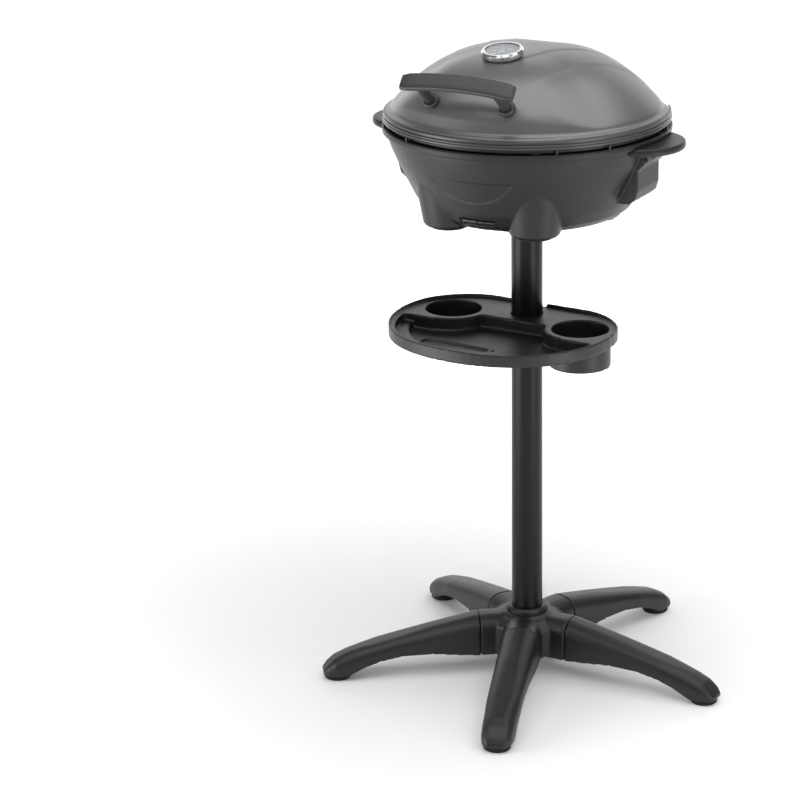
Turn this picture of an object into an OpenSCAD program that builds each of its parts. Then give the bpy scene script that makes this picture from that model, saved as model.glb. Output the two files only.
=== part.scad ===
// Electric grill with a hinged lid on a five-armed pedestal.
// Z is up, the front faces -Y, and the origin is on the floor on the pole's axis.

/* [Pedestal] */
// Distance from the pole axis to the tip of an arm
arm_reach = 321; // [300:1:345]
// Width of an arm where it meets the hub
arm_root_w = 58; // [50:1:60]
// Radius at which the arms meet the hub
hub_seam_r = 77; // [74:1:82]
// Height of the arm roots above the floor
arm_root_z = 93; // [88:1:98]
// Outer diameter of the pole
pole_d = 47; // [42:1:50]
// Wall of the pole tube
pole_wall = 1.5; // [1:0.1:2.5]
// Height of the joint between the two pole tubes
pole_joint_z = 560; // [530:1:565]

/* [Shelf] */
// Height of the top of the shelf's rim
shelf_rim_z = 580; // [575:1:590]
// Half the width of the shelf
shelf_half_w = 172; // [168:1:175]
// Distance from the pole axis to the shelf's front edge
shelf_front = 227; // [220:1:232]
// Distance of the shelf's back edge behind the pole axis
shelf_back = 41; // [39:1:43]
// Turn of the clamped shelf on the pole
shelf_turn = -3; // [-8:1:3]
// Radius of a cup holder
cup_r = 42.5; // [38:0.5:44]
// Height of the cup holders' floor
cup_floor_z = 520; // [510:1:530]

/* [Bowl] */
// Height of the bowl's rim
rim_z = 867; // [866:1:868]
// Radius of the bowl's rim
rim_r = 212; // [211:1:214]
// Distance of the straight back edge behind the pole axis
back_y = 162; // [161:1:163]
// Distance of the slanting rear corners from the pole axis
corner_d = 202; // [201:1:203]
// Height of the bowl's underside
bowl_bottom_z = 735; // [734:1:736]
// Wall of the moulded bowl
bowl_wall = 3; // [2.5:0.5:3.5]
// Reach of a side handle from the pole axis
ear_reach = 248; // [244:1:252]

/* [Cooking plate] */
// Radius of the cooking plate's rim
plate_r = 204; // [203:0.5:204]
// Height of the cooking plate's rim
plate_top_z = 884; // [882:1:885]
// Pitch of the grill ribs
rib_pitch = 14; // [12:1:18]

/* [Lid] */
// Radius of the foot of the dome
dome_r = 197; // [195:1:198]
// Height of the dome above its foot
dome_h = 84; // [78:1:88]
// Height of the foot of the dome
dome_foot_z = 896; // [895:1:898]
// Sheet thickness of the lid
lid_t = 1.6; // [1.2:0.2:2]
// Length of the handle bar
handle_l = 176; // [165:1:185]
// Rise of the handle bar's middle above its ends
handle_rise = 6; // [4:1:9]
// Radius of the thermometer's bezel
gauge_r = 30.5; // [28:0.5:32]
// Distance of the thermometer in front of the pole axis
gauge_forward = 76; // [70:1:80]

/* [Thermostat plug] */
// Length of the thermostat housing
probe_l = 62; // [58:1:66]
// Width of the thermostat housing
probe_w = 40; // [36:1:42]
// Radius of the temperature knob
knob_r = 17.5; // [15:0.5:18]

/* [Hidden] */
$fn = 96;

// Pedestal
arm_count = 5;
pole_r = pole_d / 2;
pole_fit = 0.05;                       // radial running clearance on the pole
pole_foot_z = 45;
pole_top_z = 770;
hub_floor_z = 28;
pad_r = 20;
pad_h = 8;
pad_at = arm_reach - 23;
arm_step = 360 / arm_count;
arm_root_low = 31;
tenon_l = 26;
tenon_w = 38;
tenon_h = 34;
tenon_z = 42;
tenon_fit = 0.3;
leg_screw_at = hub_seam_r - tenon_l / 2;
hub_r = 59;
hub_shoulder_z = 80;
hub_top_z = 95;
sleeve_t = 8;                          // wall of the shelf's sleeve round the pole
// Stations along an arm: distance from the axis, top, underside, width
arm_stations = [
    [hub_seam_r, arm_root_z, arm_root_low, arm_root_w],
    [112, arm_root_z - 7, 34, arm_root_w - 1],
    [150, arm_root_z - 15, 38, arm_root_w - 2],
    [198, arm_root_z - 27, 37, arm_root_w - 4],
    [235, arm_root_z - 36, 30, arm_root_w - 5],
    [262, arm_root_z - 43, 19, arm_root_w - 7],
    [284, arm_root_z - 50, pad_h, arm_root_w - 8],
    [302, arm_root_z - 59, pad_h, arm_root_w - 11],
    [314, arm_root_z - 70, pad_h, arm_root_w - 19],
    [arm_reach, arm_root_z - 79, pad_h, arm_root_w - 32]];
arm_skin = 3.5;

// Shelf
platform_z = shelf_rim_z - 5;
rim_skirt_z = shelf_rim_z - 19;
tray_ledge_z = shelf_rim_z - 16;
tray_floor_z = shelf_rim_z - 25;
shelf_bottom_z = tray_floor_z - 3;
cup_x = 108;
cup_y = -33;
cup_wall = 3;
bulge_r = 54;                          // radius of the tray's wall around a cup holder
tray_back_y = -41;
pocket_y = -90;
shelf_wide_y = -62;                    // the shelf is widest here
// Rear right quarter of the outline, from the back edge to the widest point
shelf_rear = [[84, shelf_back], [101, shelf_back - 4], [117, shelf_back - 11], [132, shelf_back - 21],
    [146, shelf_back - 34], [157, shelf_back - 48], [165, shelf_back - 64], [169.5, shelf_back - 82]];

// Head
foot_z = 729;                          // underside of the rubber feet
pad_t = 3;
rim_band_h = 9;
bowl_profile = [[0, 735], [122, 735], [140, 738], [154, 748], [165, 765], [190, 815], [199, 836],
    [204, 850], [206, rim_z - rim_band_h]];
rim_inner_r = 203;
front_foot = [69.5, -114.5];
rear_foot = [111, 24];
panel_r = 80.3;                        // the moon-shaped panel in the bowl's front
panel_low_z = 784;
panel_top_z = 820;
pocket_at = [180.7, -60.2, 787.4];         // centre of the ball that dents the wall in front of a block
block_x = 195;
block_front_y = -39;
ear_plate_x = 206.2;                   // face that carries a side handle
ear_plate_t = 4;
block_back_y = 37;
block_bottom_z = 771;
ear_top_z = 860;
ear_t = 12;
ear_r = 68;
ear_screw_y = [-18, 22];
ear_screw_z = 842;
reflector_z = 765;
socket_r = 30;
socket_top_z = pole_top_z + 6;
tray_half_w = 28;
tray_z = 739;
tray_h = 16;
tray_back = -40;
tray_bar_z = [tray_z + 3, tray_z + 12.5];
hinge_x = 78;
hinge_y = back_y + 10;
hinge_z = 882;
pin_r = 2.5;
studs = [-168, -146, -118, -52, -30, 10, 190];

// Cooking plate and element
element_z = 853.5;
element_r = 120;
tube_r = 4;
terminal_y = 14;
plate_floor_z = 864;
plate_flange_z = 869;

// Thermostat plug, in a frame turned to the rear left corner
probe_turn = 135;
probe_x = corner_d + 6;
probe_bottom_z = element_z - 12;
probe_split_z = element_z + 4.5;
probe_top_z = element_z + 12;
knob_x = probe_x + 36;
relief_l = 40;
cord_r = 3.5;

// Lid
skirt_out = 9.5;                       // the skirt stands this far outside the dome's foot
skirt_z = 876;
band_z = 874;
lid_inset = 14;                        // the dome's flat rear walls stand this far inside the bowl's rim
handle_angle = 51.5;                   // lean of the handle bar's face
handle_end = [-216, 960];
handle_post_x = 60;
handle_post_y = -178;

// Thermometer
gauge_tilt = 9;
gauge_z = 978;

// Cord route: distance from the pole axis, direction in degrees, height
cord_drop = [[310.3, 135, 853.5], [324, 135, 853.5], [340, 135, 848], [352, 135, 834], [357, 135, 814],
    [354, 135, 790], [343, 135, 766], [325, 135, 745], [301, 135, 727], [272, 134.5, 712], [240, 134, 701],
    [207, 133, 693], [174, 131, 689], [143, 128.5, 690], [115, 125, 693], [90, 121.5, 694], [72, 118.5, 689],
    [59.5, 117, 677], [55, 116.5, 658], [55, 116.5, 620], [55, 116.5, 570], [55, 116.5, 520],
    [55, 116.5, 460], [55, 116.5, 400], [55, 116.5, 340], [55, 116.5, 280], [56, 116.5, 230],
    [59, 116.5, 185], [65, 116.5, 145], [72, 116.5, 112], [79, 117, 84], [83, 118, 63], [87, 119.5, 44],
    [93, 123.5, 30.5], [102, 128, 23], [113, 131.5, 19.8], [126, 133, 18.6], [138.3, 132.4, 18.3]];
cord_lead = [[138.3, 132.4, 4.3], [150, 130.5, 4.3], [162, 128, 4.3], [174, 124.5, 5], [187, 121, 7.5],
    [201, 118.5, 11.5], [216, 117, 16], [232, 116.5, 19.2]];
coil_at = 133;
coil_direction = 116.5;
coil_r = 38;
coil_turns = 2;
coil_bottom = 0.8;
plug_at = 232.3;
plug_z = 19.2;

// ---------- shared shapes ----------

function polar(p) = [p[0] * cos(p[1]), p[0] * sin(p[1]), p[2]];

// Closed solid through rings of points that all have the same count
module loft(rings) {
    n = len(rings[0]);
    m = len(rings);
    sides = [for (j = [0:m - 2]) for (i = [0:n - 1]) let (a = j * n + i, b = j * n + (i + 1) % n)
        each [[a, b, b + n], [a, b + n, a + n]]];
    first = [for (i = [n - 1:-1:0]) i];
    last = [for (i = [0:n - 1]) (m - 1) * n + i];
    polyhedron(points = [for (r = rings) each r], faces = concat([first], sides, [last]), convexity = 6);
}

// Outline of the head: a circle with a straight back and two slanting rear corners
module head_outline(r, back, corner) {
    intersection() {
        circle(r, $fn = 180);
        translate([-r - 1, -r - 1]) square([2 * r + 2, r + 1 + back]);
        rotate(45) translate([-2 * r, -2 * r]) square([2 * r + corner, 4 * r]);
        rotate(135) translate([-2 * r, -2 * r]) square([2 * r + corner, 4 * r]);
    }
}

module rounded_rect(l, w, r) {
    translate([r, -w / 2]) square([l - 2 * r, w]);
    translate([0, r - w / 2]) square([l, w - 2 * r]);
    for (x = [r, l - r], y = [r - w / 2, w / 2 - r]) translate([x, y]) circle(r, $fn = 48);
}

// A pan-headed screw pointing down from the origin
module screw(shank_r, shank_l, head_r, head_h) {
    translate([0, 0, -shank_l]) cylinder(r = shank_r, h = shank_l, $fn = 24);
    cylinder(r = head_r, h = head_h, $fn = 32);
}

// ---------- pedestal ----------

// Cross-section of an arm as [y, z] points: flat below and rounded above
function arm_section(top, low, w) = let (c = min(w * 0.4, (top - low) * 0.62)) concat(
    [[-w / 2, low], [-w / 2, top - c]],
    [for (a = [160:-20:100]) [-w / 2 + c + c * cos(a), top - c + c * sin(a)]],
    [[-w / 2 + c, top], [w / 2 - c, top]],
    [for (a = [80:-20:20]) [w / 2 - c + c * cos(a), top - c + c * sin(a)]],
    [[w / 2, top - c], [w / 2, low]]);

function arm_rings(skin) = [for (s = arm_stations)
    [for (p = arm_section(s[1] - skin, (skin > 0) ? -5 : s[2], s[3] - 2 * skin)) [s[0], p[0], p[1]]]];

module leg_arm(index) {
    color([0.17, 0.17, 0.18]) rotate(index * arm_step) {
        difference() {
            loft(arm_rings(0));
            difference() {
                loft(arm_rings(arm_skin));
                translate([hub_seam_r - 1, -40, 0]) cube([5, 80, 120]);
                translate([pad_at, 0, -1]) cylinder(r = pad_r + 3, h = pad_h + 6);
            }
            translate([pad_at, 0, pad_h - 1]) cylinder(r = 3.1, h = 5, $fn = 24);
        }
        difference() {
            translate([hub_seam_r - tenon_l, -tenon_w / 2, tenon_z]) cube([tenon_l, tenon_w, tenon_h]);
            translate([leg_screw_at, 0, tenon_z - 1]) cylinder(r = 2, h = 24, $fn = 24);
        }
    }
}

module hub() {
    color([0.17, 0.17, 0.18]) difference() {
        union() {
            translate([0, 0, hub_floor_z]) cylinder(r = 46, h = 40);
            translate([0, 0, 34]) cylinder(r = hub_r, h = hub_shoulder_z - 34);
            translate([0, 0, hub_shoulder_z]) cylinder(r1 = hub_r, r2 = 44, h = 10);
            translate([0, 0, hub_shoulder_z - 10]) cylinder(r = 38, h = hub_top_z - hub_shoulder_z + 10);
            for (i = [0:arm_count - 1]) rotate(i * arm_step) translate([20, 0, 0]) rotate([90, 0, 90])
                linear_extrude(hub_seam_r - 20) polygon(arm_section(arm_root_z, arm_root_low, arm_root_w));
        }
        for (i = [0:arm_count - 1]) rotate(i * arm_step) {
            translate([hub_seam_r - tenon_l - 0.5, -tenon_w / 2 - tenon_fit, tenon_z - tenon_fit])
                cube([tenon_l + 1, tenon_w + 2 * tenon_fit, tenon_h + 2 * tenon_fit]);
            translate([leg_screw_at, 0, 20]) cylinder(r = 2.6, h = 30, $fn = 24);
        }
        translate([0, 0, pole_foot_z]) cylinder(r = pole_r + pole_fit, h = 60);
        translate([0, 0, 20]) cylinder(r = 4.3, h = 40, $fn = 32);
    }
}

module foot_pads() {
    color([0.08, 0.08, 0.08]) for (i = [0:arm_count - 1]) rotate(i * arm_step) translate([pad_at, 0, 0]) {
        rotate_extrude() polygon([[0, 0], [pad_r - 1.5, 0], [pad_r, 1.5], [pad_r, pad_h], [0, pad_h]]);
        translate([0, 0, pad_h]) cylinder(r = 3, h = 3.5, $fn = 24);
    }
}

module leg_screws() {
    color("silver") for (i = [0:arm_count - 1]) rotate(i * arm_step)
        translate([leg_screw_at, 0, arm_root_low]) rotate([180, 0, 0]) screw(1.9, 30, 4.5, 2.5);
}

module hub_collar() {
    color([0.12, 0.12, 0.13]) translate([0, 0, hub_top_z]) rotate_extrude()
        polygon([[pole_r + pole_fit, 0], [32, 0], [32, 5], [29, 8], [pole_r + pole_fit, 8]]);
}

module pole_bolt() {
    color("silver") {
        translate([0, 0, 20]) cylinder(r = 9, h = 6, $fn = 6);
        translate([0, 0, 26]) cylinder(r = 12, h = 2, $fn = 48);
        translate([0, 0, 28]) cylinder(r = 4, h = 30, $fn = 32);
    }
}

module pole_foot_plug() {
    color([0.2, 0.2, 0.2]) translate([0, 0, pole_foot_z]) difference() {
        cylinder(r = pole_r - pole_wall - pole_fit, h = 28);
        translate([0, 0, -1]) cylinder(r = 4.05, h = 20, $fn = 32);
    }
}

module pole_tube(low, high) {
    translate([0, 0, low]) difference() {
        cylinder(r = pole_r, h = high - low);
        translate([0, 0, -1]) cylinder(r = pole_r - pole_wall, h = high - low + 2);
    }
}

module lower_pole() {
    color([0.13, 0.13, 0.14]) pole_tube(pole_foot_z, pole_joint_z);
}

module upper_pole() {
    color([0.13, 0.13, 0.14]) pole_tube(pole_joint_z, pole_top_z - 4);
}

module pole_joiner() {
    color([0.3, 0.3, 0.3]) pole_tube_inside(pole_joint_z - 50, pole_joint_z + 50);
}

module pole_tube_inside(low, high) {
    translate([0, 0, low]) difference() {
        cylinder(r = pole_r - pole_wall - pole_fit, h = high - low);
        translate([0, 0, -1]) cylinder(r = pole_r - pole_wall - 2, h = high - low + 2);
    }
}

module pole_top_plug() {
    color([0.15, 0.15, 0.15]) {
        translate([0, 0, pole_top_z - 28]) cylinder(r = pole_r - pole_wall - pole_fit, h = 24);
        translate([0, 0, pole_top_z - 4]) cylinder(r1 = pole_r, r2 = pole_r - 2, h = 4);
    }
}

// ---------- shelf ----------

// A point on the rounded front of the shelf, from its widest point (0) to the middle (90)
function shelf_front_point(a) = [shelf_half_w * pow(cos(a), 2 / 2.2),
    shelf_wide_y - (shelf_front + shelf_wide_y) * pow(sin(a), 2 / 2.2)];

module shelf_outline(inset) {
    half = concat(shelf_rear, [for (a = [0:5:90]) shelf_front_point(a)]);
    n = len(half);
    offset(delta = -inset) polygon(concat(half, [for (i = [n - 2:-1:0]) [-half[i][0], half[i][1]]]));
}

module cup_circles(r) {
    for (s = [-1, 1]) translate([s * cup_x, cup_y]) circle(r);
}

// The tray in front of the pole, with a rounded pocket beside each cup holder
module tray_outline(inset) {
    offset(r = 8, $fn = 32) offset(delta = -8) difference() {
        intersection() {
            shelf_outline(10 + inset);
            translate([-180, -240]) square([360, 240 + tray_back_y - inset]);
        }
        cup_circles(bulge_r + inset);
        for (s = [-1, 1]) translate([s * (cup_x + 50) - 50, pocket_y - inset]) square([100, 100]);
    }
}

// Deeper middle of the tray, which stays hidden behind the rim's skirt
module tray_well(inset) {
    intersection() {
        tray_outline(inset);
        for_each_side(10, 24) shelf_outline(10 + inset);
    }
}

// What two copies of a shape, shifted sideways both ways and back, have in common
module for_each_side(sideways, back) {
    intersection() {
        translate([-sideways, back]) children();
        translate([sideways, back]) children();
    }
}

module fork_slot(inset) {
    hull() {
        translate([-88, -137]) circle(12 - inset, $fn = 48);
        translate([4, -136]) circle(8 - inset, $fn = 48);
    }
}

module shelf() {
    color([0.17, 0.17, 0.18]) rotate(shelf_turn) difference() {
        union() {
            translate([0, 0, rim_skirt_z]) linear_extrude(shelf_rim_z - rim_skirt_z) shelf_outline(0);
            translate([0, 0, shelf_bottom_z]) linear_extrude(rim_skirt_z + 1 - shelf_bottom_z) tray_well(-3);
            translate([0, 0, shelf_bottom_z - 3]) linear_extrude(4) fork_slot(-2);
            translate([0, 0, cup_floor_z]) linear_extrude(rim_skirt_z + 1 - cup_floor_z)
                cup_circles(cup_r + cup_wall);
            translate([0, 0, shelf_bottom_z - 12])
                cylinder(r = pole_r + sleeve_t, h = platform_z - shelf_bottom_z + 12);
        }
        translate([0, 0, platform_z]) linear_extrude(20) shelf_outline(3);
        translate([-12, shelf_back - 10, platform_z]) cube([24, 20, 20]);
        translate([0, 0, tray_ledge_z]) linear_extrude(40) tray_outline(0);
        translate([0, 0, tray_floor_z]) linear_extrude(40) tray_well(0);
        // hollow under the platform, open below
        translate([0, 0, rim_skirt_z - 1]) linear_extrude(platform_z - rim_skirt_z - 2) difference() {
            shelf_outline(3);
            tray_outline(-3);
            cup_circles(cup_r + cup_wall);
            circle(pole_r + sleeve_t);
        }
        translate([0, 0, cup_floor_z + 3]) linear_extrude(90) cup_circles(cup_r);
        for (s = [-1, 1]) translate([s * cup_x, cup_y, cup_floor_z - 1]) cylinder(r = 6, h = 6, $fn = 32);
        translate([0, 0, tray_floor_z - 3.5]) linear_extrude(4) fork_slot(0);
        translate([18, -134, shelf_bottom_z - 5]) cylinder(r = 2.5, h = 12, $fn = 24);
        translate([0, 0, 500]) cylinder(r = pole_r + 0.2, h = 120);
    }
}

module shelf_collar() {
    color([0.14, 0.14, 0.15]) rotate(shelf_turn) translate([0, 0, shelf_bottom_z - 28]) difference() {
        cylinder(r = pole_r + 7, h = 16);
        translate([0, 0, -1]) cylinder(r = pole_r + pole_fit, h = 20);
        for (a = [0, 180]) rotate(a) translate([0, 0, 8]) rotate([90, 0, 0])
            cylinder(r = 2.1, h = 60, $fn = 24);
    }
}

module shelf_screws() {
    color("silver") for (a = [0, 180]) rotate(shelf_turn + a) translate([0, pole_r + 7, shelf_bottom_z - 20])
        rotate([-90, 0, 0]) screw(2, 6.5, 4, 2.4);
}

// Small clip screwed to the back of the pole that holds the cord
module cord_clip() {
    color([0.1, 0.1, 0.1]) rotate(coil_direction) translate([0, 0, 640]) difference() {
        translate([pole_r - 1, -7, 0]) cube([61 - pole_r, 14, 12]);
        translate([0, 0, -1]) cylinder(r = pole_r + 0.02, h = 14);
        translate([55, 0, -1]) cylinder(r = cord_r + 0.3, h = 14, $fn = 32);
        translate([55, -2.6, -1]) cube([10, 5.2, 14]);
    }
}

// ---------- head: bowl and fittings ----------

// Everything in front of a sloping back wall and two sloping rear corners
module rear_planes(back, corner) {
    intersection() {
        translate([0, back, rim_z]) rotate([-14, 0, 0]) translate([-400, -600, -400]) cube([800, 600, 800]);
        for (s = [-1, 1]) rotate(s * 45) translate([0, corner, rim_z]) rotate([-14, 0, 0])
            translate([-400, -600, -400]) cube([800, 600, 800]);
    }
}

// Radius of the bowl's outside at a height above its underside
function bowl_radius(z) = lookup(z, [for (p = bowl_profile) [p[1], p[0]]]);

// The bowl's form, drawn in by a wall
module bowl_form(wall, top) {
    intersection() {
        rotate_extrude($fn = 180) polygon(concat(
            [for (p = bowl_profile) [max(0, p[0] - wall), max(p[1], bowl_bottom_z + wall)]],
            [[rim_inner_r + 3 - wall, top], [0, top]]));
        rear_planes(back_y - 3 - wall, corner_d - 5 - wall);
    }
}

// A foot of the bowl: a cone that widens upwards until it runs out in the wall
module foot_form(at, r_low, r_top, top, wall) {
    translate([at[0], at[1], 0]) rotate_extrude($fn = 64) polygon([[0, foot_z + pad_t + wall],
        [r_low - 4 - wall, foot_z + pad_t + wall], [r_low - wall, foot_z + pad_t + 4 + wall],
        [r_top - wall, top], [0, top]]);
}

module feet_forms(wall) {
    for (s = [-1, 1]) {
        foot_form([s * front_foot[0], front_foot[1]], 37, 52, 818, wall);
        foot_form([s * rear_foot[0], rear_foot[1]], 27, 50, 793, wall);
    }
}

module block_form(wall) {
    for (s = [0, 1]) mirror([s, 0, 0]) translate([0, block_back_y - wall, 0]) rotate([90, 0, 0])
        linear_extrude(block_back_y - block_front_y - 2 * wall) polygon([[150, 860 - 2 * wall],
            [ear_plate_x - wall, 860 - 2 * wall], [ear_plate_x - wall, 833], [block_x - wall, 822],
            [block_x - wall, 792], [block_x - 4 - wall, 779], [block_x - 14, block_bottom_z + wall],
            [164 + wall, block_bottom_z + wall], [150, 782]]);
}

module base_bowl() {
    color([0.27, 0.27, 0.28]) difference() {
        union() {
            bowl_form(0, rim_z - 1);
            feet_forms(0);
            block_form(0);
            translate([0, 0, rim_z - rim_band_h]) linear_extrude(rim_band_h)
                head_outline(rim_r, back_y, corner_d);
        }
        difference() {
            union() {
                bowl_form(bowl_wall, rim_z + 20);
                feet_forms(bowl_wall);
                block_form(bowl_wall);
            }
            // boss for the pole and four bosses under the reflector
            translate([0, 0, bowl_bottom_z]) cylinder(r = socket_r, h = socket_top_z + 3 - bowl_bottom_z);
            for (a = [45, 135, 200, 340]) rotate(a) translate([88, 0, bowl_bottom_z])
                cylinder(r = 6, h = reflector_z - bowl_bottom_z, $fn = 32);
        }
        translate([0, 0, bowl_bottom_z - 5])
            cylinder(r = pole_r + pole_fit, h = pole_top_z + 5 - bowl_bottom_z);
        // shallow moon-shaped panel in the front
        difference() {
            intersection() {
                translate([0, -240, panel_low_z + panel_r]) rotate([-90, 0, 0]) cylinder(r = panel_r, h = 90);
                translate([-panel_r, -240, panel_low_z - 1])
                    cube([2 * panel_r, 90, panel_top_z - panel_low_z + 1]);
            }
            bowl_form(1.2, rim_z);
        }
        for (s = [-1, 1]) translate([s * pocket_at[0], pocket_at[1], pocket_at[2]]) sphere(14, $fn = 64);
        // mouth for the drip tray
        translate([-tray_half_w - 0.5, -190, tray_z - 0.5])
            cube([2 * tray_half_w + 1, 60, tray_h + 2.5]);
        // gap in the rear left corner for the thermostat plug
        rotate(probe_turn) translate([182, -23.3, element_z - 8.3]) cube([40, 46.6, 40]);
        for (s = [-1, 1], y = ear_screw_y) translate([s * (ear_plate_x + 1), y, ear_screw_z])
            rotate([0, -90 * s, 0]) cylinder(r = 1.7, h = 12, $fn = 24);
        for (s = [-1, 1], x = [-10, 10]) translate([s * hinge_x + x, back_y + 5, 862.5]) rotate([90, 0, 0])
            cylinder(r = 1.6, h = 16, $fn = 24);
    }
}

// A side handle: a flat rounded grip with a plate that screws to the block under it
module side_handle(side) {
    color([0.27, 0.27, 0.28]) mirror([side < 0 ? 1 : 0, 0, 0]) difference() {
        union() {
            intersection() {
                translate([ear_reach - ear_r, -3, ear_top_z - ear_t]) rotate_extrude() polygon([[0, 1],
                    [ear_r - 16, 1], [ear_r - 5, 0], [ear_r - 1.5, 1.5], [ear_r, 5], [ear_r - 1, ear_t - 1],
                    [ear_r - 4, ear_t], [0, ear_t]]);
                translate([190, -80, 800]) cube([100, 160, 100]);
            }
            translate([ear_plate_x + 0.2, block_front_y, 836])
                cube([ear_plate_t, block_back_y - block_front_y, 22]);
        }
        translate([0, 0, 857.8]) cylinder(r = rim_r + 0.2, h = 40, $fn = 180);
        translate([0, 0, 800]) cylinder(r = ear_plate_x + 0.2, h = 60, $fn = 180);
        translate([0, block_front_y - 0.2, 800])
            cube([ear_plate_x + 0.2, block_back_y - block_front_y + 0.4, 60]);
        for (y = ear_screw_y) translate([ear_plate_x - 1, y, ear_screw_z]) rotate([0, 90, 0])
            cylinder(r = 2.2, h = 12, $fn = 24);
    }
}

module left_side_handle() {
    side_handle(-1);
}

module right_side_handle() {
    side_handle(1);
}

module side_handle_screws() {
    color("silver") for (s = [-1, 1], y = ear_screw_y)
        translate([s * (ear_plate_x + 0.2 + ear_plate_t), y, ear_screw_z]) rotate([0, 90 * s, 0])
            screw(1.7, 12, 3.6, 2);
}

module rubber_feet() {
    color([0.06, 0.06, 0.06]) for (s = [-1, 1]) {
        translate([s * front_foot[0], front_foot[1], foot_z]) cylinder(r = 26, h = pad_t, $fn = 48);
        translate([s * rear_foot[0], rear_foot[1], foot_z]) cylinder(r = 18, h = pad_t, $fn = 48);
    }
}

module heat_reflector() {
    color([0.75, 0.75, 0.74]) difference() {
        translate([0, 0, reflector_z]) rotate_extrude() polygon([[0, 0], [96, 0], [124, 11], [127, 23],
            [130, 23], [130, 24], [126, 24], [123, 12], [96, 1], [0, 1]]);
        translate([0, 0, 760]) cylinder(r = 32, h = 20);
        translate([0, -95, 760]) cylinder(r = 9, h = 30, $fn = 48);
    }
    color([0.75, 0.75, 0.74]) translate([0, 0, reflector_z + 0.5]) difference() {
        cylinder(r = 33.5, h = 16);
        translate([0, 0, -1]) cylinder(r = 32, h = 20);
    }
    // posts that carry the element
    color([0.75, 0.75, 0.74]) for (a = [-90, 20, 200]) rotate(a) translate([element_r, 0, 771])
        cylinder(r = 2.5, h = element_z - tube_r - 0.05 - 771, $fn = 32);
}

module heating_element() {
    bend = asin(terminal_y / element_r);
    color([0.35, 0.33, 0.32]) translate([0, 0, element_z]) rotate(probe_turn) {
        rotate(bend) rotate_extrude(angle = 360 - 2 * bend) translate([element_r, 0])
            circle(tube_r, $fn = 32);
        for (s = [-1, 1])
            translate([element_r * cos(bend) - 4.5, s * terminal_y, 0]) rotate([0, 90, 0])
                cylinder(r = tube_r + 0.4, h = 59.5, $fn = 32);
    }
}

module element_terminals() {
    ends = element_r * cos(asin(terminal_y / element_r)) + 55;
    color("gold") rotate(probe_turn) for (s = [-1, 1]) translate([ends, s * terminal_y, element_z])
        rotate([0, 90, 0]) cylinder(r = 2.5, h = 46, $fn = 32);
}

// Heat-proof collar that frames the plug's opening in the rear corner
module socket_shroud() {
    color([0.12, 0.12, 0.12]) rotate(probe_turn) translate([corner_d - 8, 0, element_z]) difference() {
        translate([0, -23, -8]) cube([9, 46, 20]);
        for (s = [-1, 1]) translate([-1, s * terminal_y, 0]) rotate([0, 90, 0])
            cylinder(r = 5, h = 20, $fn = 32);
        translate([-1, 0, 0]) rotate([0, 90, 0]) cylinder(r = 4, h = 20, $fn = 32);
    }
}

module plate_outline(inset) {
    head_outline(plate_r - inset, back_y - 11 - inset, corner_d - 9.5 - inset);
}

module cook_plate() {
    rib_w = 5;
    color([0.08, 0.08, 0.09]) difference() {
        union() {
            translate([0, 0, plate_flange_z]) linear_extrude(plate_top_z - plate_flange_z) plate_outline(0);
            translate([0, 0, plate_floor_z - 6]) linear_extrude(12) plate_outline(9);
        }
        difference() {
            translate([0, 0, plate_floor_z]) linear_extrude(40) plate_outline(13);
            intersection() {
                for (x = [-13:13]) translate([x * rib_pitch - rib_w / 2, -190, plate_floor_z - 1])
                    cube([rib_w, 380, 5]);
                translate([0, 0, plate_floor_z - 10]) linear_extrude(30) plate_outline(20);
            }
        }
        translate([0, 0, plate_flange_z + 3]) linear_extrude(40) plate_outline(4);
        translate([0, -95, plate_floor_z - 10]) cylinder(r = 5, h = 30, $fn = 32);
    }
}

module lid_rest_studs() {
    color([0.2, 0.2, 0.2]) for (a = studs) rotate(a) translate([207.5, -1.5, rim_z]) cube([3, 3, 6.6]);
    color([0.2, 0.2, 0.2]) for (a = [-120, -60, 5, 175]) rotate(a) translate([203.1, -6, rim_z])
        cube([1.7, 12, 2]);
}

module hinge_brackets() {
    color("silver") for (s = [-1, 1]) translate([s * hinge_x, 0, 0]) {
        difference() {
            union() {
                translate([-17, back_y + 0.2, 851]) cube([34, 2, 22]);
                for (x = [-12.5, 9.5]) translate([x, hinge_y, hinge_z]) rotate([0, 90, 0])
                    cylinder(r = 5.5, h = 3, $fn = 48);
                for (x = [-12.5, 9.5]) translate([x, back_y + 0.2, 866]) cube([3, 15.3, hinge_z - 866]);
            }
            translate([-20, hinge_y, hinge_z]) rotate([0, 90, 0])
                cylinder(r = pin_r + 0.02, h = 40, $fn = 48);
            for (x = [-10, 10]) translate([x, back_y - 1, 862.5]) rotate([-90, 0, 0])
                cylinder(r = 1.7, h = 5, $fn = 24);
        }
    }
    color("silver") for (s = [-1, 1], x = [-10, 10]) translate([s * hinge_x + x, back_y + 2.2, 862.5])
        rotate([-90, 0, 0]) screw(1.55, 8, 2.8, 1.4);
}

module hinge_pins() {
    color("silver") for (s = [-1, 1]) translate([s * hinge_x - 13.5, hinge_y, hinge_z]) rotate([0, 90, 0]) {
        cylinder(r = pin_r, h = 27, $fn = 48);
        translate([0, 0, -1.5]) cylinder(r = 3.6, h = 1.5, $fn = 48);
    }
}

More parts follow.
